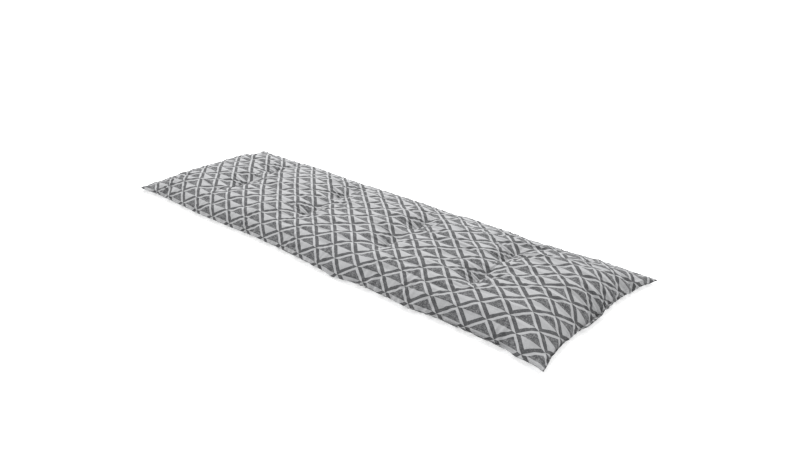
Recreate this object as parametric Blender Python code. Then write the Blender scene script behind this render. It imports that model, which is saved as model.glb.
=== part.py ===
"""A long filled bench cushion, lying on its back.

Two rectangles of cloth are sewn together along one plain edge seam and filled. Four columns of
two short tacks pull the top and the bottom together, so the filling stands up in five soft
panels. The body is one closed solid: its top and bottom meet at the seam, and the bottom is
flat where the filling presses it on the surface below.

Metres. X runs along the bench, Y across the seat from the front edge to the back one, Z up.
The origin is at the middle of the cushion, on the surface that it rests on.
"""

import bmesh
import bpy
import numpy as np

# Driving sizes, from corner to corner of the filled cover.
LENGTH = 1.480
WIDTH = 0.500

# The edge seam: its height, and how far the filling draws it in from the line between corners.
SEAM_HEIGHT = 0.010
SIDE_DRAWN_IN = 0.012
END_DRAWN_IN = 0.026
TACK_DRAWN_IN = 0.005
TACK_DRAWN_REACH = 0.050
SIDE_SQUARENESS = 12.0
END_SQUARENESS = 3.8
END_SPREAD = 3.0

# How far the edge stands out of that line, for the unevenness of the hand-filled cover.
# (place along the length from the left end, front edge, back edge)
EDGE_STATIONS = (
    (0.00, 0.000, 0.000),
    (0.06, -0.004, 0.000),
    (0.12, 0.000, -0.005),
    (0.23, 0.004, 0.003),
    (0.30, 0.000, 0.004),
    (0.37, -0.005, -0.006),
    (0.45, -0.004, 0.002),
    (0.56, 0.006, -0.003),
    (0.61, 0.009, -0.006),
    (0.65, 0.000, 0.004),
    (0.72, 0.000, 0.000),
    (0.76, 0.006, -0.006),
    (0.80, -0.004, -0.010),
    (0.88, -0.008, 0.000),
    (0.92, -0.009, 0.006),
    (0.96, 0.000, 0.004),
    (1.00, 0.000, 0.000),
)

# The filling over and under the seam at the middle of a panel, and how full its slopes are.
TOP_CROWN = 0.052
UNDER_CROWN = 0.034
TOP_FULLNESS = 2.4
UNDER_FULLNESS = 3.0
END_FULLNESS = 2.5
END_REACH = 0.150

# Tacks: short sewn lines across the cushion, two in each column between two panels.
PANELS = 5
TACK_CENTRE = 0.066
TACK_LENGTH = 0.062
TACK_TOP = 0.024
TACK_UNDER = 0.013
TACK_FADE = 0.045
VALLEY_REACH = 0.048
VALLEY_SHARPNESS = 1.25
VALLEY_BETWEEN_TACKS = 0.62
VALLEY_OUTSIDE_TACKS = 0.40

# Faces: steps along each panel and across the cushion, part of them crowded to the ends.
STEPS_ALONG = 12
STEPS_ACROSS = 26
CROWDING = 0.55

CLOTH_COLOUR = (0.27, 0.27, 0.28, 1.0)
CLOTH_ROUGHNESS = 0.9


def crowded(steps):
    """Values from 0 to 1 that lie closer together near both ends."""
    even = np.linspace(0.0, 1.0, steps + 1)
    return (1 - CROWDING) * even + CROWDING * (0.5 - 0.5 * np.cos(np.pi * even))


def along_stations():
    """Places from -1 to 1 along the length, with one on each column of tacks."""
    one = crowded(STEPS_ALONG)
    panels = [(k + one[:-1]) / PANELS for k in range(PANELS)]
    return 2 * np.append(np.concatenate(panels), 1.0) - 1


def across_stations():
    """Places from -1 to 1 across the width."""
    return 2 * crowded(STEPS_ACROSS) - 1


def tack_columns():
    """The X of each column of tacks."""
    return [LENGTH * (k / PANELS - 0.5) for k in range(1, PANELS)]


def near_columns(x, reach, sharpness):
    """1 on a column of tacks, fading to 0 over the reach on both sides."""
    return sum(np.exp(-((np.abs(x - c) / reach) ** sharpness)) for c in tack_columns())


def plan(s, t):
    """X and Y of the cover: a rectangle whose sides are drawn in between its corners."""
    share, front, back = np.array(EDGE_STATIONS).T
    place = (s + 1) / 2
    stands_out = np.where(t < 0, np.interp(place, share, front), np.interp(place, share, back))
    side = SIDE_DRAWN_IN * (1 - np.abs(s) ** SIDE_SQUARENESS) - stands_out
    side = side + TACK_DRAWN_IN * near_columns(s * LENGTH / 2, TACK_DRAWN_REACH, 2.0)
    end = END_DRAWN_IN * (1 - np.abs(t) ** END_SQUARENESS) * np.abs(s) ** END_SPREAD
    return s * (LENGTH / 2 - end), t * (WIDTH / 2 - side)


def filled(s, t, fullness):
    """How full the cover is: 0 on the seam, 1 over the middle of the panels."""
    from_end = np.clip((1 - np.abs(s)) * LENGTH / 2 / END_REACH, 0.0, 1.0)
    return (1 - np.abs(t) ** fullness) * (1 - (1 - from_end) ** END_FULLNESS)


def pulled(x, y):
    """How hard the tacks hold the cover: 1 on a tack, less between tacks and outside them."""
    past = np.clip(np.abs(np.abs(y) - TACK_CENTRE) - TACK_LENGTH / 2, 0.0, None)
    on_tack = np.exp(-((past / TACK_FADE) ** 2))
    off_tack = np.where(np.abs(y) < TACK_CENTRE, VALLEY_BETWEEN_TACKS, VALLEY_OUTSIDE_TACKS)
    depth = off_tack + (1 - off_tack) * on_tack
    return np.clip(depth * near_columns(x, VALLEY_REACH, VALLEY_SHARPNESS), 0.0, 1.0)


def top_height(s, t, x, y):
    """Z of the top: crowned, with a valley at each column that is deepest at its tacks."""
    crown = SEAM_HEIGHT + TOP_CROWN * filled(s, t, TOP_FULLNESS)
    valley = np.minimum(crown, TACK_TOP)
    return crown + (valley - crown) * pulled(x, y)


def under_height(s, t, x, y):
    """Z of the bottom: flat on the surface below, and drawn up at the tacks."""
    hang = SEAM_HEIGHT - UNDER_CROWN * filled(s, t, UNDER_FULLNESS)
    lifted = hang + (TACK_UNDER - hang) * pulled(x, y)
    return np.clip(lifted, 0.0, np.where(np.abs(t) < 1, TACK_UNDER, SEAM_HEIGHT))


def add_skin(mesh, xs, ys, zs, seam):
    """Adds the points of one skin, using the seam's points again on its rim."""
    rows, columns = xs.shape
    points = {}
    for i in range(rows):
        for j in range(columns):
            on_rim = i in (0, rows - 1) or j in (0, columns - 1)
            if on_rim and (i, j) in seam:
                points[i, j] = seam[i, j]
                continue
            z = SEAM_HEIGHT if on_rim else zs[i, j]
            points[i, j] = mesh.verts.new((xs[i, j], ys[i, j], z))
            if on_rim:
                seam[i, j] = points[i, j]
    return points


def add_faces(mesh, points, rows, columns, facing_up):
    """Joins a skin's points with triangles, split along the diagonal from the nearest corner."""
    for i in range(rows - 1):
        for j in range(columns - 1):
            a, b = points[i, j], points[i + 1, j]
            c, d = points[i + 1, j + 1], points[i, j + 1]
            if (2 * i < rows - 1) == (2 * j < columns - 1):
                triangles = ((a, b, c), (a, c, d))
            else:
                triangles = ((a, b, d), (b, c, d))
            for triangle in triangles:
                mesh.faces.new(triangle if facing_up else triangle[::-1])


def cushion_mesh():
    """The closed skin of the filled cushion."""
    s, t = np.meshgrid(along_stations(), across_stations(), indexing="ij")
    x, y = plan(s, t)
    mesh = bmesh.new()
    seam = {}
    top = add_skin(mesh, x, y, top_height(s, t, x, y), seam)
    under = add_skin(mesh, x, y, under_height(s, t, x, y), seam)
    add_faces(mesh, top, *s.shape, facing_up=True)
    add_faces(mesh, under, *s.shape, facing_up=False)
    data = bpy.data.meshes.new("cushion")
    mesh.to_mesh(data)
    mesh.free()
    data.shade_smooth()
    return data


def cloth_material():
    """A plain grey for the patterned cloth, seen from a distance."""
    material = bpy.data.materials.new("cloth")
    material.use_nodes = True
    shader = material.node_tree.nodes["Principled BSDF"]
    shader.inputs["Base Color"].default_value = CLOTH_COLOUR
    shader.inputs["Roughness"].default_value = CLOTH_ROUGHNESS
    shader.inputs["Metallic"].default_value = 0.0
    return material


def main():
    """Clears the scene and builds the cushion."""
    for old in list(bpy.data.objects):
        bpy.data.objects.remove(old)
    data = cushion_mesh()
    data.materials.append(cloth_material())
    bpy.context.scene.collection.objects.link(bpy.data.objects.new("cushion", data))


main()
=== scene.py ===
"""The looks of a long bench cushion in a grey trellis cloth, tacked in five soft panels.

The cover starts as two flat rectangles of cloth, sewn together round their edge. A small cloth
simulation lays them over the pad of fibre inside: the pad pushes the two skins out to its own
soft shape, the cloth resists stretching and bending, the tacks and the seam pull it in, and the
floor holds it up. The simulation runs first on a coarse net and then on finer ones, and leaves
the pleats and puckers that filled cloth has.

Metres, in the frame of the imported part: X along the bench, Y across the seat, Z up.
"""

import logging
import math
from dataclasses import dataclass, field
from enum import Enum
from typing import Any

import bpy
import numpy as np
from mathutils import Matrix, Vector


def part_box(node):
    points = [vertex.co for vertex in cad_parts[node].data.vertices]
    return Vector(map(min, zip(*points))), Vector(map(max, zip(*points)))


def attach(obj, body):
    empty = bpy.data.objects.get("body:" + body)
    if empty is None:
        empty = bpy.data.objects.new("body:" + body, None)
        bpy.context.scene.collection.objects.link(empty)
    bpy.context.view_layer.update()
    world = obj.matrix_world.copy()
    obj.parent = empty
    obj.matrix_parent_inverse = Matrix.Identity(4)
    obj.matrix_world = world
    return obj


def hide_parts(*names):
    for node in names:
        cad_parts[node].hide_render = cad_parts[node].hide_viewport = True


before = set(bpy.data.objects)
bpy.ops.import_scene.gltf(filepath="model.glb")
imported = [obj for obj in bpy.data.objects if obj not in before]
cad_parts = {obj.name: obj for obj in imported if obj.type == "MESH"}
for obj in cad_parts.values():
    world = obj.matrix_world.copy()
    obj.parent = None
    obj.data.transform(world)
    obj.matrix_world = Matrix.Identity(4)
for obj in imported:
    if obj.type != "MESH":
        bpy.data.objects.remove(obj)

LOG = logging.getLogger("bench_cushion")

NODE = "cushion"
BODY = "root"
CLOTH_MAP = "Cloth"
BAKE_MAP = "OFBake"
SINGLE = np.float32
WHITE = (1.0, 1.0, 1.0, 1.0)


class Skin(Enum):
    """The two sheets of the cover, by their place in the arrays of points."""

    TOP = 0
    UNDER = 1


# --------------------------------------------------------------------------------------------
# Sizes
# --------------------------------------------------------------------------------------------


@dataclass(frozen=True)
class CoverCut:
    """The cut cloth, and the rectangle between the finished cover's corners.

    The length and the width are the finished cover's. Each ease is the flat cloth's size as a
    share of it, and under_width is the share of the top sheet's width that the under one has.
    """

    length: float
    width: float
    ease_along: float = 1.002
    ease_across: float = 1.000
    under_width: float = 0.962
    corner_low: float = 0.006
    corner_high: float = 0.012
    cells_along: int = 360
    cells_across: int = 208

    @property
    def flat_length(self) -> float:
        """Length of each flat sheet between its seams."""
        return self.length * self.ease_along

    @property
    def flat_width(self) -> float:
        """Width of each flat sheet between its seams."""
        return self.width * self.ease_across


@dataclass(frozen=True)
class Tacks:
    """Short sewn lines across the cushion, two in a column, that pull its skins together.

    Their places are on the finished cover. The spreads lead from there to the flat cloth, and
    gathering is the length of cloth that a tack takes up, as a share of its own. On nets with
    cells smaller than ruffled_below finest ones, the cloth in a tack is ruffled up and down.
    """

    places: tuple[tuple[float, float], ...] = (
        (-0.435, -0.070),
        (-0.454, 0.078),
        (-0.121, -0.077),
        (-0.141, 0.068),
        (0.182, -0.080),
        (0.170, 0.054),
        (0.462, -0.079),
        (0.452, 0.056),
    )
    length: float = 0.048
    gathering: float = 1.08
    spread_along: float = 1.004
    spread_across: float = 1.012
    top_height: float = 0.041
    under_height: float = 0.012
    ruffle: float = 0.0022
    ruffles: float = 4.5
    ruffle_shift: float = 1.3
    ruffled_below: int = 4

    @property
    def half_cloth(self) -> float:
        """Half the length of flat cloth that one tack takes up."""
        return self.length * self.gathering / 2

    @property
    def cloth_places(self) -> list[tuple[float, float]]:
        """The place of each tack on the flat cloth."""
        return [(x * self.spread_along, y * self.spread_across) for x, y in self.places]


@dataclass(frozen=True)
class TackPleats:
    """Short pleats that fan out from both sides of a tack.

    On each side of a tack a random bend from -1 to 1 leans the pleats and moves them along it.
    Their reach away from the tack is ragged, and span is the share of its length that they take.
    """

    height: float = 0.0030
    pitch: float = 0.0078
    fan: float = 0.060
    lean: float = 0.12
    shift: float = 3.0
    reach: float = 0.042
    ragged: float = 0.35
    ragged_shift: float = 5.1
    ragged_turns: float = 190.0
    sharpness: float = 1.5
    span: float = 0.55


@dataclass(frozen=True)
class SeamGathers:
    """Small folds that run in from the seam, where its thread gathers the cloth.

    They are strong in some places and flat in others, and they wander along the seam, lean and
    reach in by random amounts. Each spread is the size of such a change, and the pitch after it
    is how far apart the changes lie along the seam.
    """

    height: float = 0.0062
    pitch: float = 0.017
    strength: float = 0.55
    strength_spread: float = 0.75
    strength_pitch: float = 0.05
    strongest: float = 1.6
    wander_spread: float = 4.2
    wander_pitch: float = 0.045
    lean_spread: float = 9.0
    lean_pitch: float = 0.12
    side_reach: float = 0.026
    end_reach: float = 0.034
    reach_spread: float = 0.3
    reach_pitch: float = 0.03
    shortest: float = 0.3


@dataclass(frozen=True)
class Filling:
    """The pad of loose fibre: the shape that it settles to, and how hard it holds the cloth.

    Each fullness says how steeply the pad rises from the seam there. The hem is a small step at
    the seam. The tacks lift the underside where the pad is more than lifted_from full. Each of
    the lumps is a number of lumps along the cushion, one across it, and their share of the
    lumpiness. The pad's surface is worked out on a grid with the given cell and margin.
    """

    top_crown: float = 0.052
    under_crown: float = 0.034
    front_fullness: float = 4.8
    back_fullness: float = 3.1
    under_fullness: float = 3.0
    left_fullness: float = 2.5
    right_fullness: float = 3.8
    end_reach: float = 0.150
    dimple_along: float = 0.026
    dimple_sharpness: float = 1.25
    dimple_across: float = 0.030
    valley: float = 0.16
    valley_reach: float = 0.035
    lifted_from: float = 0.2
    hem: float = 0.0025
    hem_reach: float = 0.006
    lumpiness: float = 0.0020
    lumps: tuple[tuple[int, int, float], ...] = (
        (22, 8, 0.8),
        (44, 16, 0.6),
        (26, 46, 1.0),
        (34, 84, 0.9),
    )
    pleats: TackPleats = TackPleats()
    gathers: SeamGathers = SeamGathers()
    holds: float = 0.012
    cell: float = 0.0025
    margin: float = 0.020
    seed: int = 7


@dataclass(frozen=True)
class EdgeSeam:
    """The knife-edge seam round the cover, and where the filling draws it to.

    The sides and the ends are drawn in between the corners. The larger their squareness, the
    closer to the corners that happens. Each guidance is the share of the way to its line that the
    seam moves in one step. Each entry of out_at is a place from the left end to the right one, as
    a share of the length, and how far the front and the back edge stand out there.
    """

    height: float = 0.010
    lowest: float = 0.002
    wave: float = 0.002
    wave_pitch: float = 0.095
    ripple: float = 0.0016
    ripple_pitch: float = 0.022
    height_guidance: float = 0.6
    side_drawn_in: float = 0.012
    side_squareness: float = 12.0
    end_drawn_in: float = 0.026
    end_squareness: float = 3.8
    plan_guidance: float = 0.12
    plan_reach: float = 0.05
    seed: int = 11
    out_at: tuple[tuple[float, float, float], ...] = (
        (0.00, 0.000, 0.000),
        (0.06, -0.004, 0.000),
        (0.12, 0.000, -0.005),
        (0.23, 0.004, 0.003),
        (0.30, 0.000, 0.004),
        (0.37, -0.005, -0.006),
        (0.45, -0.004, 0.002),
        (0.56, 0.006, -0.003),
        (0.61, 0.009, -0.006),
        (0.65, 0.000, 0.004),
        (0.72, 0.000, 0.000),
        (0.76, 0.006, -0.006),
        (0.80, -0.004, -0.010),
        (0.88, -0.008, 0.000),
        (0.92, -0.009, 0.006),
        (0.96, 0.000, 0.004),
        (1.00, 0.000, 0.000),
    )


@dataclass(frozen=True)
class Creasing:
    """Cloth that the sewing draws in, which ends up in fine creases over the filling.

    The filling under the creases holds the cloth to its larger shape, so they stay shallow. Each
    share is the spare cloth there: all over, at the tacks, and at the sides and ends.
    """

    all_over: float = 0.014
    at_tacks: float = 0.18
    tack_reach_along: float = 0.060
    tack_reach_across: float = 0.045
    at_sides: float = 0.03
    at_ends: float = 0.05
    seam_reach: float = 0.030
    bending: float = 0.002
    start: float = 0.0002
    seed: int = 5


@dataclass(frozen=True)
class EmptyCover:
    """How the empty cover is laid out: its skins just apart, in a low crown."""

    middle: float = 0.012
    top_rise: float = 0.035
    under_drop: float = 0.010
    side_fullness: float = 2.4
    end_fullness: int = 20


@dataclass(frozen=True)
class ClothFeel:
    """How the cloth moves and what it resists, in shares that one step takes out."""

    weight: float = 2e-8
    bending: float = 0.004
    keeps_speed: float = 0.90
    resists_squeeze: float = 0.5
    resists_shear: float = 0.25
    floor_grip: float = 0.5


# --------------------------------------------------------------------------------------------
# The filled cover
# --------------------------------------------------------------------------------------------


def smooth_step(share: np.ndarray) -> np.ndarray:
    """Eases values from 0 to 1 in and out.

    Args:
        share: Values from 0 to 1.

    Returns:
        The eased values.
    """
    return share * share * (3 - 2 * share)


def wavy_line(points: int, waves: int, rng: np.random.Generator) -> np.ndarray:
    """A smooth random line.

    Args:
        points: Number of values.
        waves: Number of random values that the line passes through.
        rng: Where the random values come from.

    Returns:
        The line's values, of about unit size.
    """
    heights = rng.standard_normal(waves + 3)
    place = np.linspace(0, waves, points)
    cell = place.astype(int)
    part = smooth_step(place - cell)
    return heights[cell] * (1 - part) + heights[cell + 1] * part


def lumpy_sheet(
    shape: tuple[int, int], lumps: tuple[int, int], rng: np.random.Generator
) -> np.ndarray:
    """A smooth random sheet.

    Args:
        shape: Number of values along and across.
        lumps: Number of random values along and across that the sheet passes through.
        rng: Where the random values come from.

    Returns:
        The sheet's values, of about unit size.
    """
    heights = rng.standard_normal((lumps[0] + 2, lumps[1] + 2))
    along = np.linspace(0, lumps[0], shape[0])
    across = np.linspace(0, lumps[1], shape[1])
    i, j = along.astype(int), across.astype(int)
    part_i = smooth_step(along - i)[:, None]
    part_j = smooth_step(across - j)[None, :]
    near = heights[np.ix_(i, j)] * (1 - part_i) + heights[np.ix_(i + 1, j)] * part_i
    far = heights[np.ix_(i, j + 1)] * (1 - part_i) + heights[np.ix_(i + 1, j + 1)] * part_i
    return near * (1 - part_j) + far * part_j


def midpoints(values: np.ndarray, axis: int) -> np.ndarray:
    """Values half-way between neighbours, on a smooth curve through them.

    Args:
        values: The known values.
        axis: The axis that they follow.

    Returns:
        One value fewer along that axis.
    """
    line = np.moveaxis(values, axis, -1)
    first = 2 * line[..., :1] - line[..., 1:2]
    last = 2 * line[..., -1:] - line[..., -2:-1]
    longer = np.concatenate([first, line, last], -1)
    inner, outer = longer[..., 1:-2] + longer[..., 2:-1], longer[..., :-3] + longer[..., 3:]
    return np.moveaxis((9 * inner - outer) / 16, -1, axis)


class CoverNet:
    """The cover as a net of points at one fineness, and the forces and holds that act on it.

    Points are stored as (axis, skin, along, across). The skins share their rim, which is sewn.
    """

    def __init__(
        self,
        cut: CoverCut,
        tacks: Tacks,
        filling: Filling,
        seam: EdgeSeam,
        feel: ClothFeel,
        coarseness: int,
        creasing: Creasing | None = None,
    ) -> None:
        """Lays out the net.

        Args:
            cut: The cut cloth.
            tacks: The sewn tacks.
            filling: The fibre filling.
            seam: The edge seam.
            feel: How the cloth moves.
            coarseness: How many finest cells one cell spans.
            creasing: The fine creases, for the finest net.
        """
        self.cut, self.tacks, self.filling, self.seam, self.feel = cut, tacks, filling, seam, feel
        self.creasing = creasing
        self.coarseness = coarseness
        self.along = cut.cells_along // coarseness
        self.across = cut.cells_across // coarseness
        self.cell_x = cut.flat_length / self.along
        self.cell_y = cut.flat_width / self.across
        self.u = np.linspace(-cut.flat_length / 2, cut.flat_length / 2, self.along + 1)
        self.v = np.linspace(-cut.flat_width / 2, cut.flat_width / 2, self.across + 1)
        self.bending = creasing.bending if creasing else feel.bending
        self.rest_x, self.rest_y, self.rest_diagonal = self._rest_lengths()
        self.pad = [self._pad(skin) for skin in Skin]
        self.rim_heights = self._rim_heights()
        self.rim_plan = self._rim_plan()
        self.held, self.held_at = self._tacked_points()

    def _rest_lengths(self) -> tuple[np.ndarray, np.ndarray, np.ndarray]:
        """The unstretched lengths of the threads, with the under sheet cut narrower.

        Returns:
            The lengths along, for both skins alike, and those across and on the bias, for each.
        """
        u, v = np.meshgrid(self.u, self.v, indexing="ij")
        extra_x, extra_y = self._drawn_in(u, v) if self.creasing else (0 * u, 0 * u)
        rest_x = self.cell_x * (1 + (extra_x[1:] + extra_x[:-1]) / 2)
        rest_y = self.cell_y * (1 + (extra_y[:, 1:] + extra_y[:, :-1]) / 2)
        rest_y = np.stack((rest_y, rest_y * self.cut.under_width))
        rest_x[:, [0, -1]] = self.cell_x
        rest_y[:, [0, -1], :] = self.cell_y
        mean_x = (rest_x[:, 1:] + rest_x[:, :-1]) / 2
        mean_y = (rest_y[:, 1:] + rest_y[:, :-1]) / 2
        diagonal = np.hypot(mean_x, mean_y)
        return rest_x.astype(SINGLE), rest_y.astype(SINGLE), diagonal.astype(SINGLE)

    def _drawn_in(self, u: np.ndarray, v: np.ndarray) -> tuple[np.ndarray, np.ndarray]:
        """How much more cloth there is along and across than the larger shape needs.

        Args:
            u: Place along the flat cloth.
            v: Place across the flat cloth.

        Returns:
            The two shares.
        """
        made, tacks = self.creasing, self.tacks
        from_side = self.cut.flat_width / 2 - np.abs(v)
        from_end = self.cut.flat_length / 2 - np.abs(u)
        along, across = made.tack_reach_along, made.tack_reach_across
        near = sum(
            np.exp(-(((u - x) / along) ** 2) - ((v - y) / across) ** 4)
            for x, y in tacks.cloth_places
        )
        extra_y = made.all_over + made.at_tacks * near
        extra_y = extra_y + made.at_ends * np.exp(-from_end / made.seam_reach)
        extra_x = made.all_over + made.at_sides * np.exp(-from_side / made.seam_reach)
        return extra_x, extra_y

    def _edge_in(self, x: np.ndarray, y: np.ndarray) -> tuple[np.ndarray, np.ndarray]:
        """How near places are to the edge of the cover, which is uneven in plan.

        Args:
            x: Places along the cushion.
            y: Places across it.

        Returns:
            The nearness to the end and to the side, each 0 in the middle and 1 on the edge.
        """
        cut, seam = self.cut, self.seam
        share, front, back = np.array(seam.out_at).T
        s, t = np.abs(2 * x / cut.length), np.abs(2 * y / cut.width)
        out = np.where(y < 0, np.interp(x / cut.length + 0.5, share, front), 0.0)
        out = np.where(y > 0, np.interp(x / cut.length + 0.5, share, back), out)
        side = seam.side_drawn_in * (1 - np.clip(s, 0, 1) ** seam.side_squareness)
        end = seam.end_drawn_in * (1 - np.clip(t, 0, 1) ** seam.end_squareness)
        return np.abs(x) / (cut.length / 2 - end), np.abs(y) / (cut.width / 2 - side + out)

    def _gathers(self, x: np.ndarray, y: np.ndarray, rng: np.random.Generator) -> np.ndarray:
        """The folds that run in from the seam.

        Args:
            x: Places along the cushion.
            y: Places across it.
            rng: Where the random values come from.

        Returns:
            Their height at each place, of about unit size at the seam.
        """
        made = self.filling.gathers
        near_end, near_side = self._edge_in(x, y)
        from_side = (1 - near_side) * self.cut.width / 2
        from_end = (1 - near_end) * self.cut.length / 2
        edges = (
            (x, y < 0, from_side, made.side_reach, 0),
            (x, y > 0, from_side, made.side_reach, 0),
            (y, x < 0, from_end, made.end_reach, 1),
            (y, x > 0, from_end, made.end_reach, 1),
        )
        pitches = made.strength_pitch, made.wander_pitch, made.lean_pitch, made.reach_pitch
        total = np.zeros_like(x)
        for place, here, depth, reach, axis in edges:
            points = x.shape[axis]
            length = (self.cut.length, self.cut.width)[axis]
            shape = (-1, 1) if axis == 0 else (1, -1)
            changes = [wavy_line(points, int(length / pitch), rng) for pitch in pitches]
            strength, wander, lean, long = (change.reshape(shape) for change in changes)
            strength = np.clip(made.strength + made.strength_spread * strength, 0, made.strongest)
            turn = 2 * np.pi * place / made.pitch + made.wander_spread * wander
            turn = turn + made.lean_spread * lean * depth
            long = np.clip(reach * (1 + made.reach_spread * long), made.shortest * reach, None)
            fade = np.exp(-np.clip(depth, 0, None) / long)
            total += np.where(here, strength * fade * np.cos(turn), 0)
        return total

    def _tack_marks(
        self, x: np.ndarray, y: np.ndarray, rng: np.random.Generator
    ) -> tuple[np.ndarray, np.ndarray]:
        """What the tacks do to the pad.

        Args:
            x: Places along the cushion.
            y: Places across it.
            rng: Where the random values come from.

        Returns:
            The share of its height that they leave the pad, and the height of their pleats, of
            about unit size.
        """
        pad, tacks, pleat = self.filling, self.tacks, self.filling.pleats
        left, pleats = np.ones_like(x), np.zeros_like(x)
        for column, across in tacks.places:
            aside, beyond = np.abs(x - column), y - across
            past = np.clip(np.abs(beyond) - tacks.length / 2, 0, None)
            dimple = np.exp(-((aside / pad.dimple_along) ** pad.dimple_sharpness))
            valley = np.exp(-((aside / pad.valley_reach) ** 2))
            left *= 1 - dimple * np.exp(-((past / pad.dimple_across) ** 2))
            left *= 1 - pad.valley * valley
            fan = beyond / (1 + aside / pleat.fan)
            bend = rng.uniform(-1, 1, 2)[(x > column).astype(int)]
            turns = (fan + pleat.lean * bend * aside) / pleat.pitch + pleat.shift * bend
            ragged = np.sin(pleat.ragged_shift * bend + pleat.ragged_turns * fan)
            reach = pleat.reach * (1 + pleat.ragged * ragged)
            height = np.exp(-((aside / reach) ** pleat.sharpness))
            height = height * np.exp(-((fan / (pleat.span * tacks.length)) ** 4))
            pleats += height * np.cos(2 * np.pi * turns)
        return left, pleats

    def _pad(self, skin: Skin) -> np.ndarray:
        """The pad's surface on a fine grid: its height, and its slopes along and across.

        Args:
            skin: Which side of the pad.

        Returns:
            The three values for each place, as (along, across, value).
        """
        pad, tacks, cut = self.filling, self.tacks, self.cut
        half_x, half_y = cut.length / 2 + pad.margin, cut.width / 2 + pad.margin
        xs = np.arange(-half_x, half_x + pad.cell, pad.cell)
        ys = np.arange(-half_y, half_y + pad.cell, pad.cell)
        x, y = np.meshgrid(xs, ys, indexing="ij")
        near_end, near_side = self._edge_in(x, y)
        from_end = np.clip((1 - near_end) * cut.length / 2 / pad.end_reach, 0, 1)
        over = np.where(y < 0, pad.front_fullness, pad.back_fullness)
        fullness = over if skin is Skin.TOP else pad.under_fullness
        ends = np.where(x < 0, pad.left_fullness, pad.right_fullness)
        filled = (1 - np.clip(near_side, 0, 1) ** fullness) * (1 - (1 - from_end) ** ends)
        left, pleats = self._tack_marks(x, y, np.random.default_rng(pad.seed + skin.value))
        pulled = 1 - left
        in_x, in_y = (1 - near_end) * cut.length / 2, (1 - near_side) * cut.width / 2
        hem = pad.hem * np.clip(np.minimum(in_x, in_y) / pad.hem_reach, 0, 1)
        if skin is Skin.TOP:
            rng = np.random.default_rng(pad.seed)
            lumps = sum(size * lumpy_sheet(x.shape, (i, j), rng) for i, j, size in pad.lumps)
            crown = self.seam.height + pad.top_crown * filled + pad.lumpiness * lumps * filled
            height = crown + (np.minimum(crown, tacks.top_height) - crown) * pulled
            gathers = pad.gathers.height * self._gathers(x, y, rng)
            height += hem + pad.pleats.height * pleats + gathers
        else:
            hang = np.maximum(self.seam.height - hem - pad.under_crown * filled, 0)
            height = hang + (tacks.under_height - hang) * pulled * (filled > pad.lifted_from)
        return np.stack([height, *np.gradient(height, pad.cell)], -1).astype(SINGLE)

    def _rim_heights(self) -> list[tuple[tuple, np.ndarray]]:
        """The wavy line that the seam settles towards in height.

        Returns:
            Where each side of the rim lies in a skin, and its heights.
        """
        seam = self.seam
        rng = np.random.default_rng(seam.seed)
        whole = slice(None)
        sides = (
            ((whole, 0), self.along, self.cut.length),
            ((whole, -1), self.along, self.cut.length),
            ((0, whole), self.across, self.cut.width),
            ((-1, whole), self.across, self.cut.width),
        )
        found = []
        for side, cells, length in sides:
            line = seam.wave * wavy_line(cells + 1, int(length / seam.wave_pitch), rng)
            line += seam.ripple * wavy_line(cells + 1, int(length / seam.ripple_pitch), rng)
            heights = np.clip(seam.height + line, seam.lowest, None)
            found.append((side, heights.astype(SINGLE)))
        return found

    def _rim_plan(self) -> list[tuple[tuple, int, np.ndarray, np.ndarray]]:
        """The line that the seam is drawn to in plan.

        Returns:
            Where each side of the rim lies in a skin, the axis across it, its places on that
            axis, and the smoothing with which it follows them.
        """
        seam, cut = self.seam, self.cut
        share, front, back = np.array(seam.out_at).T
        s, t = 2 * self.u / cut.flat_length, 2 * self.v / cut.flat_width
        even = cut.width / 2 - seam.side_drawn_in * (1 - np.abs(s) ** seam.side_squareness)
        end = cut.length / 2 - seam.end_drawn_in * (1 - np.abs(t) ** seam.end_squareness)
        whole, smoothers = slice(None), []
        for cell in (self.cell_x, self.cell_y):
            reach = max(1, round(seam.plan_reach / 2 / cell))
            smoothers.append(np.hanning(2 * reach + 3)[1:-1] / (reach + 1))
        return [
            ((whole, 0), 1, -even - np.interp((s + 1) / 2, share, front), smoothers[0]),
            ((whole, -1), 1, even + np.interp((s + 1) / 2, share, back), smoothers[0]),
            ((0, whole), 0, -end, smoothers[1]),
            ((-1, whole), 0, end, smoothers[1]),
        ]

    def row_at(self, cloth_x: float) -> int:
        """The row of the net that is nearest to a place along the flat cloth."""
        return round((cloth_x / self.cut.flat_length + 0.5) * self.along)

    def _tacked_points(self) -> tuple[tuple[np.ndarray, ...], np.ndarray]:
        """The net's points that the tacks hold.

        Returns:
            Their skins, rows and columns, and the places at which they are held.
        """
        tacks, held, at = self.tacks, [], []
        for number, (x, y) in enumerate(tacks.places):
            cloth_x, cloth_y = tacks.cloth_places[number]
            i = self.row_at(cloth_x)
            past = (self.v - cloth_y) / tacks.half_cloth
            for skin in Skin:
                for j in np.flatnonzero(np.abs(past) <= 1):
                    share = past[j]
                    wave = math.cos(math.pi * tacks.ruffles * share + tacks.ruffle_shift * number)
                    wave *= tacks.ruffle * (self.coarseness < tacks.ruffled_below)
                    top, under = tacks.top_height + wave, tacks.under_height - wave
                    height = top if skin is Skin.TOP else under
                    held.append((skin.value, i, j))
                    at.append((x, y + share * tacks.length / 2, height))
        return tuple(np.array(held).T), np.array(at, SINGLE).T

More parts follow.
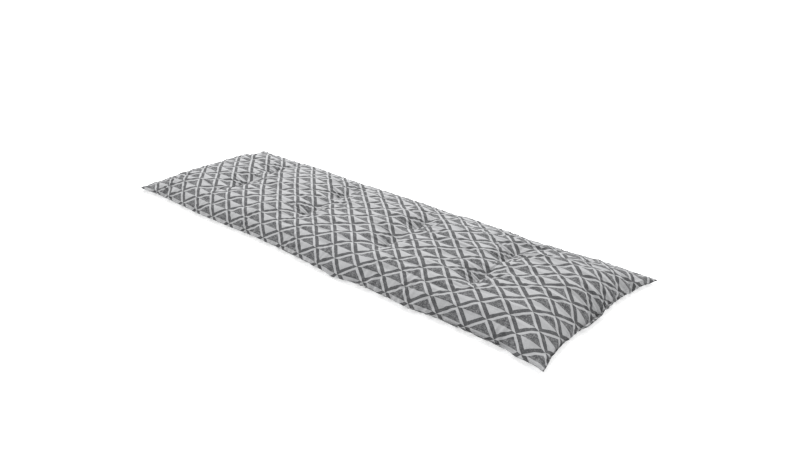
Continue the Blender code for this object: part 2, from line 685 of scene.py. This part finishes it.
    def flat_cover(self) -> np.ndarray:
        """The empty cover, laid out flat.

        Returns:
            The points.
        """
        cut, laid = self.cut, EmptyCover()
        u, v = np.meshgrid(self.u, self.v, indexing="ij")
        points = np.zeros((3, 2, *u.shape), SINGLE)
        points[0] = u * cut.length / cut.flat_length
        points[1] = v * cut.width / cut.flat_width
        across = 1 - np.abs(2 * v / cut.flat_width) ** laid.side_fullness
        crown = across * (1 - np.abs(2 * u / cut.flat_length) ** laid.end_fullness)
        points[2, Skin.TOP.value] = laid.middle + laid.top_rise * crown
        points[2, Skin.UNDER.value] = laid.middle - laid.under_drop * crown
        return points

    def _off_pad(self, points: np.ndarray, skin: Skin) -> np.ndarray:
        """The way from one skin's points straight back to the pad's surface.

        Args:
            points: The points of both skins.
            skin: Which skin.

        Returns:
            The three parts of that way, for each point.
        """
        pad, cut = self.filling, self.cut
        x, y, z = points[:, skin.value]
        grid = self.pad[skin.value]
        row = (x + SINGLE(cut.length / 2 + pad.margin)) / SINGLE(pad.cell)
        column = (y + SINGLE(cut.width / 2 + pad.margin)) / SINGLE(pad.cell)
        i = np.clip(np.rint(row), 0, grid.shape[0] - 1)
        j = np.clip(np.rint(column), 0, grid.shape[1] - 1)
        found = grid.reshape(-1, 3)[(i * grid.shape[1] + j).astype(np.int32)]
        height, slope_x, slope_y = found[..., 0], found[..., 1], found[..., 2]
        step_x, step_y = (row - i) * SINGLE(pad.cell), (column - j) * SINGLE(pad.cell)
        above = z - height - slope_x * step_x - slope_y * step_y
        above /= 1 + slope_x * slope_x + slope_y * slope_y
        return np.stack([above * slope_x, above * slope_y, -above])

    def _pushes(self, points: np.ndarray) -> np.ndarray:
        """What the pad, the weight and the cloth's stiffness add to each point in a step.

        Args:
            points: The points of both skins.

        Returns:
            The three parts of what is added, for each point.
        """
        added = np.zeros_like(points)
        for skin in Skin:
            added[:, skin.value] = SINGLE(self.filling.holds) * self._off_pad(points, skin)
        added[2] -= SINGLE(self.feel.weight * self.coarseness**2)
        inner = (slice(None), slice(None), slice(1, -1), slice(1, -1))
        bent = np.zeros_like(points)
        bent[inner] = self._unevenness(points)
        added[inner] -= SINGLE(self.bending) * self._unevenness(bent)
        return added

    def roughened(self, points: np.ndarray) -> np.ndarray:
        """Moves the points a little up and down, so that creases can start.

        Args:
            points: The points.

        Returns:
            The moved points.
        """
        rng = np.random.default_rng(self.creasing.seed)
        rough = points.copy()
        rough[2] += (rng.standard_normal(points.shape[1:]) * self.creasing.start).astype(SINGLE)
        return rough

    @staticmethod
    def _unevenness(values: np.ndarray) -> np.ndarray:
        """How far the inner points lie from the middle of their four neighbours.

        Args:
            values: Three values for each point of both skins.

        Returns:
            Four times that way, for each point that isn't on the rim.
        """
        beside = values[:, :, 2:, 1:-1] + values[:, :, :-2, 1:-1]
        beyond = values[:, :, 1:-1, 2:] + values[:, :, 1:-1, :-2]
        return 4 * values[:, :, 1:-1, 1:-1] - beside - beyond

    def _keep_length(
        self, a: np.ndarray, b: np.ndarray, rest: np.ndarray, strength: float
    ) -> None:
        """Moves two sets of points towards their distance on the flat cloth.

        Args:
            a: Points at one end, changed in place.
            b: Points at the other end, changed in place.
            rest: The distance on the flat cloth.
            strength: Share of the stretch that one step takes out.
        """
        apart = b - a
        length = np.sqrt(apart[0] * apart[0] + apart[1] * apart[1] + apart[2] * apart[2])
        stretch = (length - rest) / length
        squeeze = SINGLE(strength * self.feel.resists_squeeze / 2)
        apart *= stretch * np.where(stretch > 0, SINGLE(strength / 2), squeeze)
        a += apart
        b -= apart

    def _keep_cloth(self, points: np.ndarray) -> None:
        """Takes out the stretch along the threads and on the bias, every other cell at a time.

        Args:
            points: The points of both skins, changed in place.
        """
        for odd in (0, 1):
            a, b = points[:, :, odd:-1:2, :], points[:, :, odd + 1 :: 2, :]
            self._keep_length(a, b, self.rest_x[odd::2], 1.0)
        for odd in (0, 1):
            a, b = points[:, :, :, odd:-1:2], points[:, :, :, odd + 1 :: 2]
            self._keep_length(a, b, self.rest_y[:, :, odd::2], 1.0)
        shear = self.feel.resists_shear
        for odd in (0, 1):
            a, b = points[:, :, odd:-1:2, :], points[:, :, odd + 1 :: 2, :]
            self._keep_length(a[..., :-1], b[..., 1:], self.rest_diagonal[:, odd::2], shear)
            self._keep_length(a[..., 1:], b[..., :-1], self.rest_diagonal[:, odd::2], shear)

    def _hold(self, points: np.ndarray, before: np.ndarray) -> None:
        """Sews the rim, and holds the cover at its corners, on the floor and at the tacks.

        Args:
            points: The points, changed in place.
            before: The points one step earlier.
        """
        cut = self.cut
        for side, heights in self.rim_heights:
            rim = (slice(None), *side)
            sewn = (points[:, 0][rim] + points[:, 1][rim]) * SINGLE(0.5)
            sewn[2] += SINGLE(self.seam.height_guidance) * (heights - sewn[2])
            points[:, 0][rim] = sewn
            points[:, 1][rim] = sewn
        for side, axis, places, smoother in self.rim_plan:
            off = np.convolve(places - points[axis, 0][side], smoother, "same")
            for skin in Skin:
                points[axis, skin.value][side] += (self.seam.plan_guidance * off).astype(SINGLE)
        for i, x in ((0, -cut.length / 2), (-1, cut.length / 2)):
            for j, y in ((0, -cut.width / 2), (-1, cut.width / 2)):
                points[0, :, i, j] = x
                points[1, :, i, j] = y
                points[2, :, i, j] = np.clip(points[2, :, i, j], cut.corner_low, cut.corner_high)
        under = points[2] < 0
        points[2][under] = 0
        for axis in (0, 1):
            slid = before[axis][under] - points[axis][under]
            points[axis][under] += slid * SINGLE(self.feel.floor_grip)
        points[:, self.held[0], self.held[1], self.held[2]] = self.held_at

    def settle(self, points: np.ndarray, steps: int) -> np.ndarray:
        """Lets the cover move until the steps run out.

        Args:
            points: Where it starts.
            steps: Number of steps.

        Returns:
            Where the points have come to.
        """
        before = points.copy()
        for _ in range(steps):
            moved = (points - before) * SINGLE(self.feel.keeps_speed) + self._pushes(points)
            before = points.copy()
            points = points + moved
            self._keep_cloth(points)
            self._hold(points, before)
        return points


@dataclass
class FilledCover:
    """The cushion's cover, sewn, filled, tacked and laid on the floor.

    Each of the rounds is a coarseness of the net, a number of steps, and whether the cloth
    creases in them. The under sheet's pattern is moved across by bottom_shift.
    """

    cut: CoverCut
    tacks: Tacks = field(default_factory=Tacks)
    filling: Filling = field(default_factory=Filling)
    seam: EdgeSeam = field(default_factory=EdgeSeam)
    feel: ClothFeel = field(default_factory=ClothFeel)
    creasing: Creasing = field(default_factory=Creasing)
    rounds: tuple[tuple[int, int, bool], ...] = (
        (4, 300, False),
        (2, 200, False),
        (1, 100, False),
        (1, 400, True),
    )
    bottom_shift: float = 0.03
    map_margin: float = 0.002

    def net(self, coarseness: int, creased: bool = False) -> CoverNet:
        """The cover as a net of points.

        Args:
            coarseness: How many finest cells one cell spans.
            creased: Whether it has the cloth for the fine creases.

        Returns:
            The net.
        """
        creasing = self.creasing if creased else None
        parts = self.cut, self.tacks, self.filling, self.seam, self.feel
        return CoverNet(*parts, coarseness, creasing)

    def shape(self) -> np.ndarray:
        """Fills the cover, on ever finer nets.

        Returns:
            The points of both skins, as (axis, skin, along, across).
        """
        points = None
        for coarseness, steps, creased in self.rounds:
            net = self.net(coarseness, creased)
            if points is None:
                points = net.flat_cover()
            elif creased:
                points = net.roughened(points)
            elif points.shape[2] <= net.along:
                points = self._finer(points)
            points = net.settle(points, steps)
            LOG.info("net of %d by %d cells settled in %d steps", net.along, net.across, steps)
        return points

    @staticmethod
    def _finer(points: np.ndarray) -> np.ndarray:
        """Puts a point between each two of the net, along and across.

        Args:
            points: The points of both skins.

        Returns:
            The points of a net with half the cell.
        """
        shape = (3, 2, points.shape[2] * 2 - 1, points.shape[3] * 2 - 1)
        finer = np.zeros(shape, SINGLE)
        finer[:, :, ::2, ::2] = points
        finer[:, :, 1::2, ::2] = midpoints(points, 2)
        finer[:, :, :, 1::2] = midpoints(finer[:, :, :, ::2], 3)
        return finer

    def mesh(self, points: np.ndarray) -> bpy.types.Mesh:
        """Turns the settled skins into one closed mesh with its two maps.

        Args:
            points: The points of both skins.

        Returns:
            The mesh.
        """
        rows, columns = points.shape[2:]
        top = np.arange(rows * columns).reshape(rows, columns)
        under = np.full((rows, columns), -1)
        kept = np.zeros((rows, columns), bool)
        kept[2:-2:2, 2:-2:2] = True
        under[kept] = rows * columns + np.arange(kept.sum())
        under[[0, -1], :] = top[[0, -1], :]
        under[:, [0, -1]] = top[:, [0, -1]]
        places = np.concatenate([points[:, 0].reshape(3, -1).T, points[:, 1][:, kept].T])
        cells = self._fine_cells(rows, columns), self._coarse_cells(under >= 0)
        faces = [
            grid[tuple(np.array(cell).T)].tolist()
            for grid, sheet in zip((top, under), cells)
            for cell in sheet
        ]
        data = bpy.data.meshes.new("cover")
        data.from_pydata(places.tolist(), [], faces)
        net = self.net(1)
        u, v = np.meshgrid(net.u, net.v, indexing="ij")
        on_cloth = [np.stack([u, v], -1), np.stack([u, self.bottom_shift - v], -1)]
        inset = 1 - 2 * self.map_margin
        along, across = u / self.cut.flat_length * inset, v / self.cut.flat_width * inset / 2
        for_bake = [np.stack([along + 0.5, across + middle], -1) for middle in (0.25, 0.75)]
        self._add_map(data, CLOTH_MAP, on_cloth, cells)
        self._add_map(data, BAKE_MAP, for_bake, cells)
        data.shade_smooth()
        return data

    @staticmethod
    def _fine_cells(rows: int, columns: int) -> list[list[tuple[int, int]]]:
        """The corners of each cell of the top's net.

        Args:
            rows: Number of points along.
            columns: Number of points across.

        Returns:
            The corners of each cell, in order, seen from above.
        """
        return [
            [(i, j), (i + 1, j), (i + 1, j + 1), (i, j + 1)]
            for i in range(rows - 1)
            for j in range(columns - 1)
        ]

    @staticmethod
    def _coarse_cells(kept: np.ndarray) -> list[list[tuple[int, int]]]:
        """The corners of each double cell of the bottom's net, with every point of the rim.

        Args:
            kept: Which points of the net the bottom uses.

        Returns:
            The corners of each cell, in order, seen from below.
        """
        ring = ((0, 0), (0, 1), (0, 2), (1, 2), (2, 2), (2, 1), (2, 0), (1, 0))
        rows, columns = kept.shape
        return [
            [(i + di, j + dj) for di, dj in ring if kept[i + di, j + dj]]
            for i in range(0, rows - 1, 2)
            for j in range(0, columns - 1, 2)
        ]

    @staticmethod
    def _add_map(
        data: bpy.types.Mesh, name: str, places: list[np.ndarray], cells: tuple[list, list]
    ) -> None:
        """Adds a map to the mesh.

        Args:
            data: The mesh.
            name: The map's name.
            places: For each skin, the place of each of its points on the map.
            cells: For each skin, the corners of its cells.
        """
        corners = [
            flat[corner] for flat, sheet in zip(places, cells) for cell in sheet for corner in cell
        ]
        layer = data.uv_layers.new(name=name)
        layer.uv.foreach_set("vector", np.array(corners, SINGLE).ravel())

    def tack_lines(self, points: np.ndarray) -> list[np.ndarray]:
        """The settled line of each tack.

        Args:
            points: The points of both skins.

        Returns:
            One array of points for each tack and skin.
        """
        net = self.net(1)
        skins, rows, columns = net.held
        lines = []
        for cloth_x, cloth_y in self.tacks.cloth_places:
            beside = np.abs(net.v[columns] - cloth_y)
            near = (rows == net.row_at(cloth_x)) & (beside < 2 * self.tacks.half_cloth)
            for skin in Skin:
                on_line = near & (skins == skin.value)
                lines.append(points[:, skin.value, rows[on_line], columns[on_line]].T)
        return lines


# --------------------------------------------------------------------------------------------
# Shader maths
# --------------------------------------------------------------------------------------------


class Signal:
    """A value in a material, which takes part in Python arithmetic by adding Math nodes."""

    def __init__(self, nodes: "Shading", socket: bpy.types.NodeSocket) -> None:
        """Wraps a socket.

        Args:
            nodes: The material's nodes.
            socket: The output socket that holds the value.
        """
        self.nodes, self.socket = nodes, socket

    def _math(self, operation: str, *values: Any) -> "Signal":
        """Adds a Math node.

        Args:
            operation: The node's operation.
            values: Its inputs, each a number or a signal.

        Returns:
            The node's result.
        """
        return self.nodes.node("ShaderNodeMath", {"operation": operation}, dict(enumerate(values)))

    def __add__(self, other: Any) -> "Signal":
        """The sum."""
        return self._math("ADD", self, other)

    __radd__ = __add__

    def __sub__(self, other: Any) -> "Signal":
        """The difference."""
        return self._math("SUBTRACT", self, other)

    def __rsub__(self, other: Any) -> "Signal":
        """The difference, the other way round."""
        return self._math("SUBTRACT", other, self)

    def __mul__(self, other: Any) -> "Signal":
        """The product."""
        return self._math("MULTIPLY", self, other)

    __rmul__ = __mul__

    def __truediv__(self, other: Any) -> "Signal":
        """The quotient."""
        return self._math("DIVIDE", self, other)

    def __gt__(self, other: Any) -> "Signal":
        """1 where this is larger, and 0 elsewhere."""
        return self._math("GREATER_THAN", self, other)

    def __lt__(self, other: Any) -> "Signal":
        """1 where this is smaller, and 0 elsewhere."""
        return self._math("LESS_THAN", self, other)

    def __or__(self, other: "Signal") -> "Signal":
        """The larger of the two, which joins masks."""
        return self._math("MAXIMUM", self, other)

    def __and__(self, other: "Signal") -> "Signal":
        """The smaller of the two, which keeps what masks share."""
        return self._math("MINIMUM", self, other)

    def fraction(self) -> "Signal":
        """What is left after the whole number."""
        return self._math("FRACT", self)

    def sine(self) -> "Signal":
        """The sine of this angle in radians."""
        return self._math("SINE", self)


class Shading:
    """The nodes of one material."""

    def __init__(self, name: str) -> None:
        """Starts a material.

        Args:
            name: Its name.
        """
        self.material = bpy.data.materials.new(name)
        self.material.use_nodes = True
        self.tree = self.material.node_tree
        self.shader = self.tree.nodes["Principled BSDF"]

    def node(
        self, kind: str, settings: dict[str, Any], inputs: dict[Any, Any], output: Any = 0
    ) -> Signal:
        """Adds a node.

        Args:
            kind: The node's type.
            settings: Its settings, which are set first.
            inputs: A value or a signal for each input, by name or number.
            output: The name or number of the output to return.

        Returns:
            The output.
        """
        made = self.tree.nodes.new(kind)
        for name, value in settings.items():
            setattr(made, name, value)
        for key, value in inputs.items():
            self._feed(made.inputs[key], value)
        return Signal(self, made.outputs[output])

    def _feed(self, socket: bpy.types.NodeSocket, value: Any) -> None:
        """Links a signal to a socket, or sets its value.

        Args:
            socket: The input socket.
            value: The signal or the value.
        """
        if isinstance(value, Signal):
            self.tree.links.new(value.socket, socket)
        else:
            socket.default_value = value

    def set(self, **values: Any) -> None:
        """Feeds the shader's own inputs, named with _ for a space.

        Args:
            values: A value or a signal for each input.
        """
        for name, value in values.items():
            self._feed(self.shader.inputs[name.replace("_", " ")], value)

    def split(self, place: Signal) -> tuple[Signal, ...]:
        """Takes a place apart.

        Args:
            place: The place.

        Returns:
            Its X, Y and Z.
        """
        first = self.node("ShaderNodeSeparateXYZ", {}, {0: place})
        return tuple(Signal(self, socket) for socket in first.socket.node.outputs)

    def mix(self, share: Signal, a: Any, b: Any) -> Signal:
        """Mixes two colours.

        Args:
            share: How much of the second.
            a: The first colour.
            b: The second colour.

        Returns:
            The mixed colour.
        """
        return self.node("ShaderNodeMix", {"data_type": "RGBA"}, {0: share, 6: a, 7: b}, 2)

    def noise(self, place: Signal, scale: float, detail: float = 2.0) -> Signal:
        """Adds soft noise from 0 to 1.

        Args:
            place: Where it is read.
            scale: Lumps for each unit.
            detail: How many finer layers it has.

        Returns:
            The noise.
        """
        inputs = {"Vector": place, "Scale": scale, "Detail": detail}
        return self.node("ShaderNodeTexNoise", {}, inputs)

    def streaks(self, place: Signal, along: float, across: float) -> Signal:
        """Adds soft noise from 0 to 1 that is drawn out into streaks.

        Args:
            place: Where it is read.
            along: Streaks for each metre along the cloth.
            across: Streaks for each metre across it.

        Returns:
            The noise.
        """
        inputs = {"Vector": place, "Scale": (along, across, 1.0)}
        stretched = self.node("ShaderNodeMapping", {"vector_type": "POINT"}, inputs)
        return self.noise(stretched, 1.0)


# --------------------------------------------------------------------------------------------
# Finishes
# --------------------------------------------------------------------------------------------


@dataclass(frozen=True)
class TrellisCloth:
    """Woven cloth with a trellis of half-shaded diamonds, in two mottled greys.

    The shifts place the trellis on the cloth, in whole diamonds and parts of one. The bands are
    shares of a diamond's side, and the grounds are shares of the way from light to dark. A count
    is the number of yarns, streaks, flecks or clouds in a metre. The shares after them say how
    much each adds to the mottle, and the mottles how much of it each part of the pattern shows.
    """

    pitch_x: float = 0.0746
    pitch_y: float = 0.0645
    shift_a: float = 10.57
    shift_b: float = 39.94
    dark_band: float = 0.18
    light_band: float = 0.12
    light: tuple[float, float, float] = (0.412, 0.415, 0.422)
    dark: tuple[float, float, float] = (0.070, 0.071, 0.074)
    light_ground: float = 0.08
    dark_ground: float = 0.87
    waver: float = 0.0013
    waver_count: float = 700.0
    yarn_count: float = 900.0
    yarn_length_count: float = 90.0
    streak_count: float = 420.0
    streak_length_count: float = 70.0
    streak_share: float = 0.8
    fleck_count: float = 330.0
    fleck_share: float = 1.3
    cloud_count: float = 120.0
    cloud_share: float = 0.7
    shaded_mottle: float = 0.75
    band_mottle: float = 0.28
    ground_mottle: float = 0.24
    yarn: float = 0.0013
    yarn_relief: float = 1.5
    weave_depth: float = 0.00025
    weave_strength: float = 0.6
    roughness: float = 0.88
    sheen: float = 0.12
    sheen_roughness: float = 0.5
    gloss: float = 0.25

    def _parts(self, u: Signal, v: Signal) -> tuple[Signal, Signal, Signal]:
        """The parts of the pattern, each 1 where it is and 0 elsewhere.

        Each cell of the trellis is a rhombus of unit sides in the places a and b. Along its two
        near sides runs a dark band and along its two far sides a light one, with mitred ends.
        What is left inside is split along the bench: the far half is dark, the near half light.

        Args:
            u: Place along the cloth in metres.
            v: Place across the cloth in metres.

        Returns:
            The dark bands, the dark halves of the diamonds and their light halves.
        """
        along, across = u / self.pitch_x, v / self.pitch_y
        a = (across + along + self.shift_a).fraction()
        b = (across - along + self.shift_b).fraction()
        mitre = self.dark_band / self.light_band
        in_light_a, in_light_b = a > 1 - self.light_band, b > 1 - self.light_band
        in_dark_a, in_dark_b = a < self.dark_band, b < self.dark_band
        cut_a = in_light_a & (b > (1 - a) * mitre)
        cut_b = in_light_b & (a > (1 - b) * mitre)
        far_half = (a + b) > 1 + self.dark_band - self.light_band
        dark_band = (in_dark_a & (1 - cut_b)) | (in_dark_b & (1 - cut_a))
        inside = (1 - (in_light_a | in_light_b)) & (1 - (in_dark_a | in_dark_b))
        return dark_band, inside & far_half, inside & (1 - far_half)

    def material(self) -> bpy.types.Material:
        """Builds the cloth's material.

        Returns:
            The material.
        """
        nodes = Shading("trellis_cloth")
        place = nodes.node("ShaderNodeUVMap", {"uv_map": CLOTH_MAP}, {})
        waver = nodes.noise(place, self.waver_count, detail=1.0) - 0.5
        u, v, _ = nodes.split(place)
        band, shaded, open_half = self._parts(u + waver * self.waver, v + waver * self.waver)

        weft = nodes.streaks(place, self.yarn_length_count, self.yarn_count)
        warp = nodes.streaks(place, self.yarn_count, self.yarn_length_count)
        streaks = nodes.streaks(place, self.streak_length_count, self.streak_count) - 0.5
        flecks = nodes.noise(place, self.fleck_count) - 0.5
        clouds = nodes.noise(place, self.cloud_count) - 0.5
        yarns = (weft + warp) * 0.5 - 0.5
        mottle = yarns + streaks * self.streak_share
        mottle = mottle + flecks * self.fleck_share + clouds * self.cloud_share
        shown = shaded * self.shaded_mottle + band * self.band_mottle + self.ground_mottle
        share = band + shaded * self.dark_ground + open_half * self.light_ground
        colour = nodes.mix(share - mottle * shown, (*self.light, 1.0), (*self.dark, 1.0))

        angle = math.pi / self.yarn
        weave = (u * angle).sine() * (v * angle).sine()
        bump = {
            "Height": weave + yarns * self.yarn_relief,
            "Distance": self.weave_depth,
            "Strength": self.weave_strength,
        }
        normal = nodes.node("ShaderNodeBump", {}, bump)
        nodes.set(Base_Color=colour, Roughness=self.roughness, Metallic=0.0, Normal=normal)
        nodes.set(Sheen_Weight=self.sheen, Sheen_Roughness=self.sheen_roughness)
        nodes.set(Specular_IOR_Level=self.gloss)
        return nodes.material


@dataclass(frozen=True)
class ThreadFinish:
    """Twisted grey sewing thread. In its grooves it has painted shade, a share of its colour."""

    colour: tuple[float, float, float] = (0.16, 0.16, 0.165)
    # Share of the colour left in the grooves between strands: painted shade.
    groove_shade: float = 0.7
    twist_pitch: float = 0.0006
    twist_depth: float = 0.0001
    twist_strength: float = 0.5
    roughness: float = 0.7

    def material(self) -> bpy.types.Material:
        """Builds the thread's material.

        Returns:
            The material.
        """
        nodes = Shading("tack_thread")
        place = nodes.node("ShaderNodeTexCoord", {}, {}, "Object")
        _, across, up = nodes.split(place)
        twist = ((across + up) * (2 * math.pi / self.twist_pitch)).sine()
        # Painted shade: the grooves between the strands are darkened to a share of the colour.
        groove_shade = tuple(self.groove_shade * part for part in self.colour)
        colour = nodes.mix(twist * 0.5 + 0.5, (*groove_shade, 1.0), (*self.colour, 1.0))
        bump = {"Height": twist, "Distance": self.twist_depth, "Strength": self.twist_strength}
        normal = nodes.node("ShaderNodeBump", {}, bump)
        nodes.set(Base_Color=colour, Roughness=self.roughness, Metallic=0.0, Normal=normal)
        return nodes.material


@dataclass(frozen=True)
class PlainFinish:
    """A plain matt finish, which can glow."""

    name: str
    colour: tuple[float, float, float]
    glow: float = 0.0
    roughness: float = 0.95

    def material(self) -> bpy.types.Material:
        """Builds the material.

        Returns:
            The material.
        """
        nodes = Shading(self.name)
        nodes.set(Base_Color=(*self.colour, 1.0), Roughness=self.roughness, Specular_IOR_Level=0.0)
        nodes.set(Emission_Color=WHITE, Emission_Strength=self.glow)
        return nodes.material


# --------------------------------------------------------------------------------------------
# Sewing
# --------------------------------------------------------------------------------------------


@dataclass
class TackStitches:
    """The thread of the tacks: a row of short stitches in each pinch, set by Geometry Nodes.

    Each stitch is a smooth bead, drawn out to its length and to the thread's thickness.
    """

    stitch: float = 0.0042
    space: float = 0.0013
    thread: float = 0.0010
    sides: int = 8
    finish: ThreadFinish = field(default_factory=ThreadFinish)

    def piece(self, lines: list[np.ndarray]) -> bpy.types.Object:
        """Sews along the lines.

        Args:
            lines: The points of each line.

        Returns:
            One plain mesh object.
        """
        path = bpy.data.objects.new("tack_paths", self._paths(lines))
        bpy.context.scene.collection.objects.link(path)
        modifier = path.modifiers.new("stitches", "NODES")
        tree = self._tree()
        modifier.node_group = tree
        sizes = {"Stitch": self.stitch, "Space": self.space, "Thread": self.thread}
        for item in tree.interface.items_tree:
            if item.item_type == "SOCKET" and item.in_out == "INPUT" and item.name in sizes:
                modifier[item.identifier] = sizes[item.name]
        bpy.context.view_layer.update()
        evaluated = path.evaluated_get(bpy.context.evaluated_depsgraph_get())
        data = bpy.data.meshes.new_from_object(evaluated)
        path.modifiers.remove(modifier)
        bpy.data.objects.remove(path)
        data.name = "tack_threads"
        data.materials.clear()
        data.materials.append(self.finish.material())
        data.shade_smooth()
        piece = bpy.data.objects.new("tack_threads", data)
        bpy.context.scene.collection.objects.link(piece)
        return piece

    @staticmethod
    def _paths(lines: list[np.ndarray]) -> bpy.types.Mesh:
        """The lines as a mesh of edges.

        Args:
            lines: The points of each line.

        Returns:
            The mesh.
        """
        points, edges = [], []
        for line in lines:
            start = len(points)
            points.extend(line.tolist())
            edges.extend((start + k, start + k + 1) for k in range(len(line) - 1))
        data = bpy.data.meshes.new("tack_paths")
        data.from_pydata(points, edges, [])
        return data

    def _tree(self) -> bpy.types.GeometryNodeTree:
        """Builds the tree that sets a stitch on each point of the evenly divided paths.

        Returns:
            The tree, with the stitch, the space after it and the thread as its inputs.
        """
        tree = bpy.data.node_groups.new("tack_stitches", "GeometryNodeTree")
        tree.interface.new_socket("Geometry", in_out="INPUT", socket_type="NodeSocketGeometry")
        for name in ("Stitch", "Space", "Thread"):
            tree.interface.new_socket(name, in_out="INPUT", socket_type="NodeSocketFloat")
        tree.interface.new_socket("Geometry", in_out="OUTPUT", socket_type="NodeSocketGeometry")
        nodes, links = tree.nodes, tree.links
        given, result = nodes.new("NodeGroupInput"), nodes.new("NodeGroupOutput")

        curve = nodes.new("GeometryNodeMeshToCurve")
        pitch = nodes.new("ShaderNodeMath")
        spread = nodes.new("GeometryNodeResampleCurve")
        spread.mode = "LENGTH"
        links.new(given.outputs["Geometry"], curve.inputs["Mesh"])
        links.new(given.outputs["Stitch"], pitch.inputs[0])
        links.new(given.outputs["Space"], pitch.inputs[1])
        links.new(curve.outputs["Curve"], spread.inputs["Curve"])
        links.new(pitch.outputs[0], spread.inputs["Length"])

        bead = nodes.new("GeometryNodeMeshUVSphere")
        bead.inputs["Segments"].default_value = self.sides
        bead.inputs["Rings"].default_value = self.sides
        bead.inputs["Radius"].default_value = 0.5
        size = nodes.new("ShaderNodeCombineXYZ")
        links.new(given.outputs["Thread"], size.inputs["X"])
        links.new(given.outputs["Thread"], size.inputs["Y"])
        links.new(given.outputs["Stitch"], size.inputs["Z"])

        tangent = nodes.new("GeometryNodeInputTangent")
        turn = nodes.new("FunctionNodeAlignRotationToVector")
        turn.axis = "Z"
        links.new(tangent.outputs["Tangent"], turn.inputs["Vector"])
        place = nodes.new("GeometryNodeInstanceOnPoints")
        links.new(spread.outputs["Curve"], place.inputs["Points"])
        links.new(bead.outputs["Mesh"], place.inputs["Instance"])
        links.new(turn.outputs["Rotation"], place.inputs["Rotation"])
        links.new(size.outputs["Vector"], place.inputs["Scale"])

        real = nodes.new("GeometryNodeRealizeInstances")
        wear = nodes.new("GeometryNodeSetMaterial")
        links.new(place.outputs["Instances"], real.inputs["Geometry"])
        links.new(real.outputs["Geometry"], wear.inputs["Geometry"])
        links.new(wear.outputs["Geometry"], result.inputs["Geometry"])
        return tree


# --------------------------------------------------------------------------------------------
# Studio
# --------------------------------------------------------------------------------------------


@dataclass(frozen=True)
class PhotoCamera:
    """A camera at the photo's viewpoint, looking down along the cushion.

    Its angles are in degrees, its sensor's width in millimetres, and its focal length and image
    width in pixels.
    """

    place: tuple[float, float, float] = (1.3164, -1.2916, 0.8228)
    azimuth: float = 42.19
    elevation: float = 24.24
    roll: float = -0.14
    focal_pixels: float = 733.0
    image_width: int = 800
    sensor: float = 36.0

    def build(self) -> bpy.types.Object:
        """Adds the camera to the scene.

        Returns:
            The camera.
        """
        data = bpy.data.cameras.new("camera")
        data.sensor_width = self.sensor
        data.lens = self.focal_pixels * self.sensor / self.image_width
        camera = bpy.data.objects.new("camera", data)
        turn, tilt, roll = (math.radians(x) for x in (self.azimuth, self.elevation, self.roll))
        level = math.cos(tilt)
        ahead = Vector((-math.sin(turn) * level, math.cos(turn) * level, -math.sin(tilt)))
        right = Vector((math.cos(turn), math.sin(turn), 0.0))
        up = right.cross(ahead)
        rolled_right = right * math.cos(roll) + up * math.sin(roll)
        rolled_up = up * math.cos(roll) - right * math.sin(roll)
        matrix = Matrix((rolled_right, rolled_up, -ahead)).transposed().to_4x4()
        matrix.translation = Vector(self.place)
        camera.matrix_world = matrix
        bpy.context.scene.collection.objects.link(camera)
        bpy.context.scene.camera = camera
        return camera


@dataclass(frozen=True)
class SoftLight:
    """A large square lamp that points at the cushion, its power in watts."""

    name: str
    place: tuple[float, float, float]
    side: float
    power: float

    def build(self) -> bpy.types.Object:
        """Adds the lamp to the scene.

        Returns:
            The lamp.
        """
        data = bpy.data.lights.new(self.name, "AREA")
        data.size = self.side
        data.energy = self.power
        lamp = bpy.data.objects.new(self.name, data)
        lamp.location = self.place
        lamp.rotation_euler = (-Vector(self.place)).to_track_quat("-Z", "Y").to_euler()
        bpy.context.scene.collection.objects.link(lamp)
        return lamp


@dataclass
class Studio:
    """A plain pale floor, just under what lies on it, in plain soft light."""

    floor_side: float = 16.0
    floor_drop: float = 0.0004
    sky: float = 0.66
    floor: PlainFinish = PlainFinish("floor", (0.95, 0.95, 0.95), glow=0.5)
    lamps: tuple[SoftLight, ...] = (SoftLight("key", (-2.0, 2.4, 4.6), 2.2, 400.0),)

    def build(self) -> None:
        """Adds the floor, the sky and the lamps."""
        half = self.floor_side / 2
        corners = [(-half, -half), (half, -half), (half, half), (-half, half)]
        data = bpy.data.meshes.new("floor")
        data.from_pydata([(x, y, -self.floor_drop) for x, y in corners], [], [(0, 1, 2, 3)])
        data.materials.append(self.floor.material())
        floor = bpy.data.objects.new("floor", data)
        bpy.context.scene.collection.objects.link(floor)
        world = bpy.data.worlds.new("studio")
        world.use_nodes = True
        background = world.node_tree.nodes["Background"]
        background.inputs["Color"].default_value = WHITE
        background.inputs["Strength"].default_value = self.sky
        bpy.context.scene.world = world
        for lamp in self.lamps:
            lamp.build()
        bpy.context.scene.view_settings.view_transform = "Standard"


# --------------------------------------------------------------------------------------------
# The cushion
# --------------------------------------------------------------------------------------------


@dataclass
class BenchCushion:
    """The whole cushion: its filled cover and the thread of its tacks.

    Its fill, from 0, slack, to 1, tight, is not used.
    """

    cover: FilledCover
    cloth: TrellisCloth = field(default_factory=TrellisCloth)
    stitches: TackStitches = field(default_factory=TackStitches)
    fill: float = 0.6

    def build(self) -> list[bpy.types.Object]:
        """Builds the pieces and ties them to the frame.

        Returns:
            The pieces.
        """
        points = self.cover.shape()
        data = self.cover.mesh(points)
        data.materials.append(self.cloth.material())
        cushion = bpy.data.objects.new("filled_cover", data)
        bpy.context.scene.collection.objects.link(cushion)
        threads = self.stitches.piece(self.cover.tack_lines(points))
        for piece in (cushion, threads):
            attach(piece, BODY)
        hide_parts(NODE)
        return [cushion, threads]


def main() -> None:
    """Builds the studio and the cushion."""
    logging.basicConfig(level=logging.INFO, format="%(name)s: %(message)s")
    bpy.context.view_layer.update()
    PhotoCamera().build()
    Studio().build()
    low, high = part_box(NODE)
    cut = CoverCut(length=high[0] - low[0], width=high[1] - low[1])
    for piece in BenchCushion(FilledCover(cut)).build():
        LOG.info("%s: %d faces", piece.name, len(piece.data.polygons))


if __name__ == "__main__":
    main()
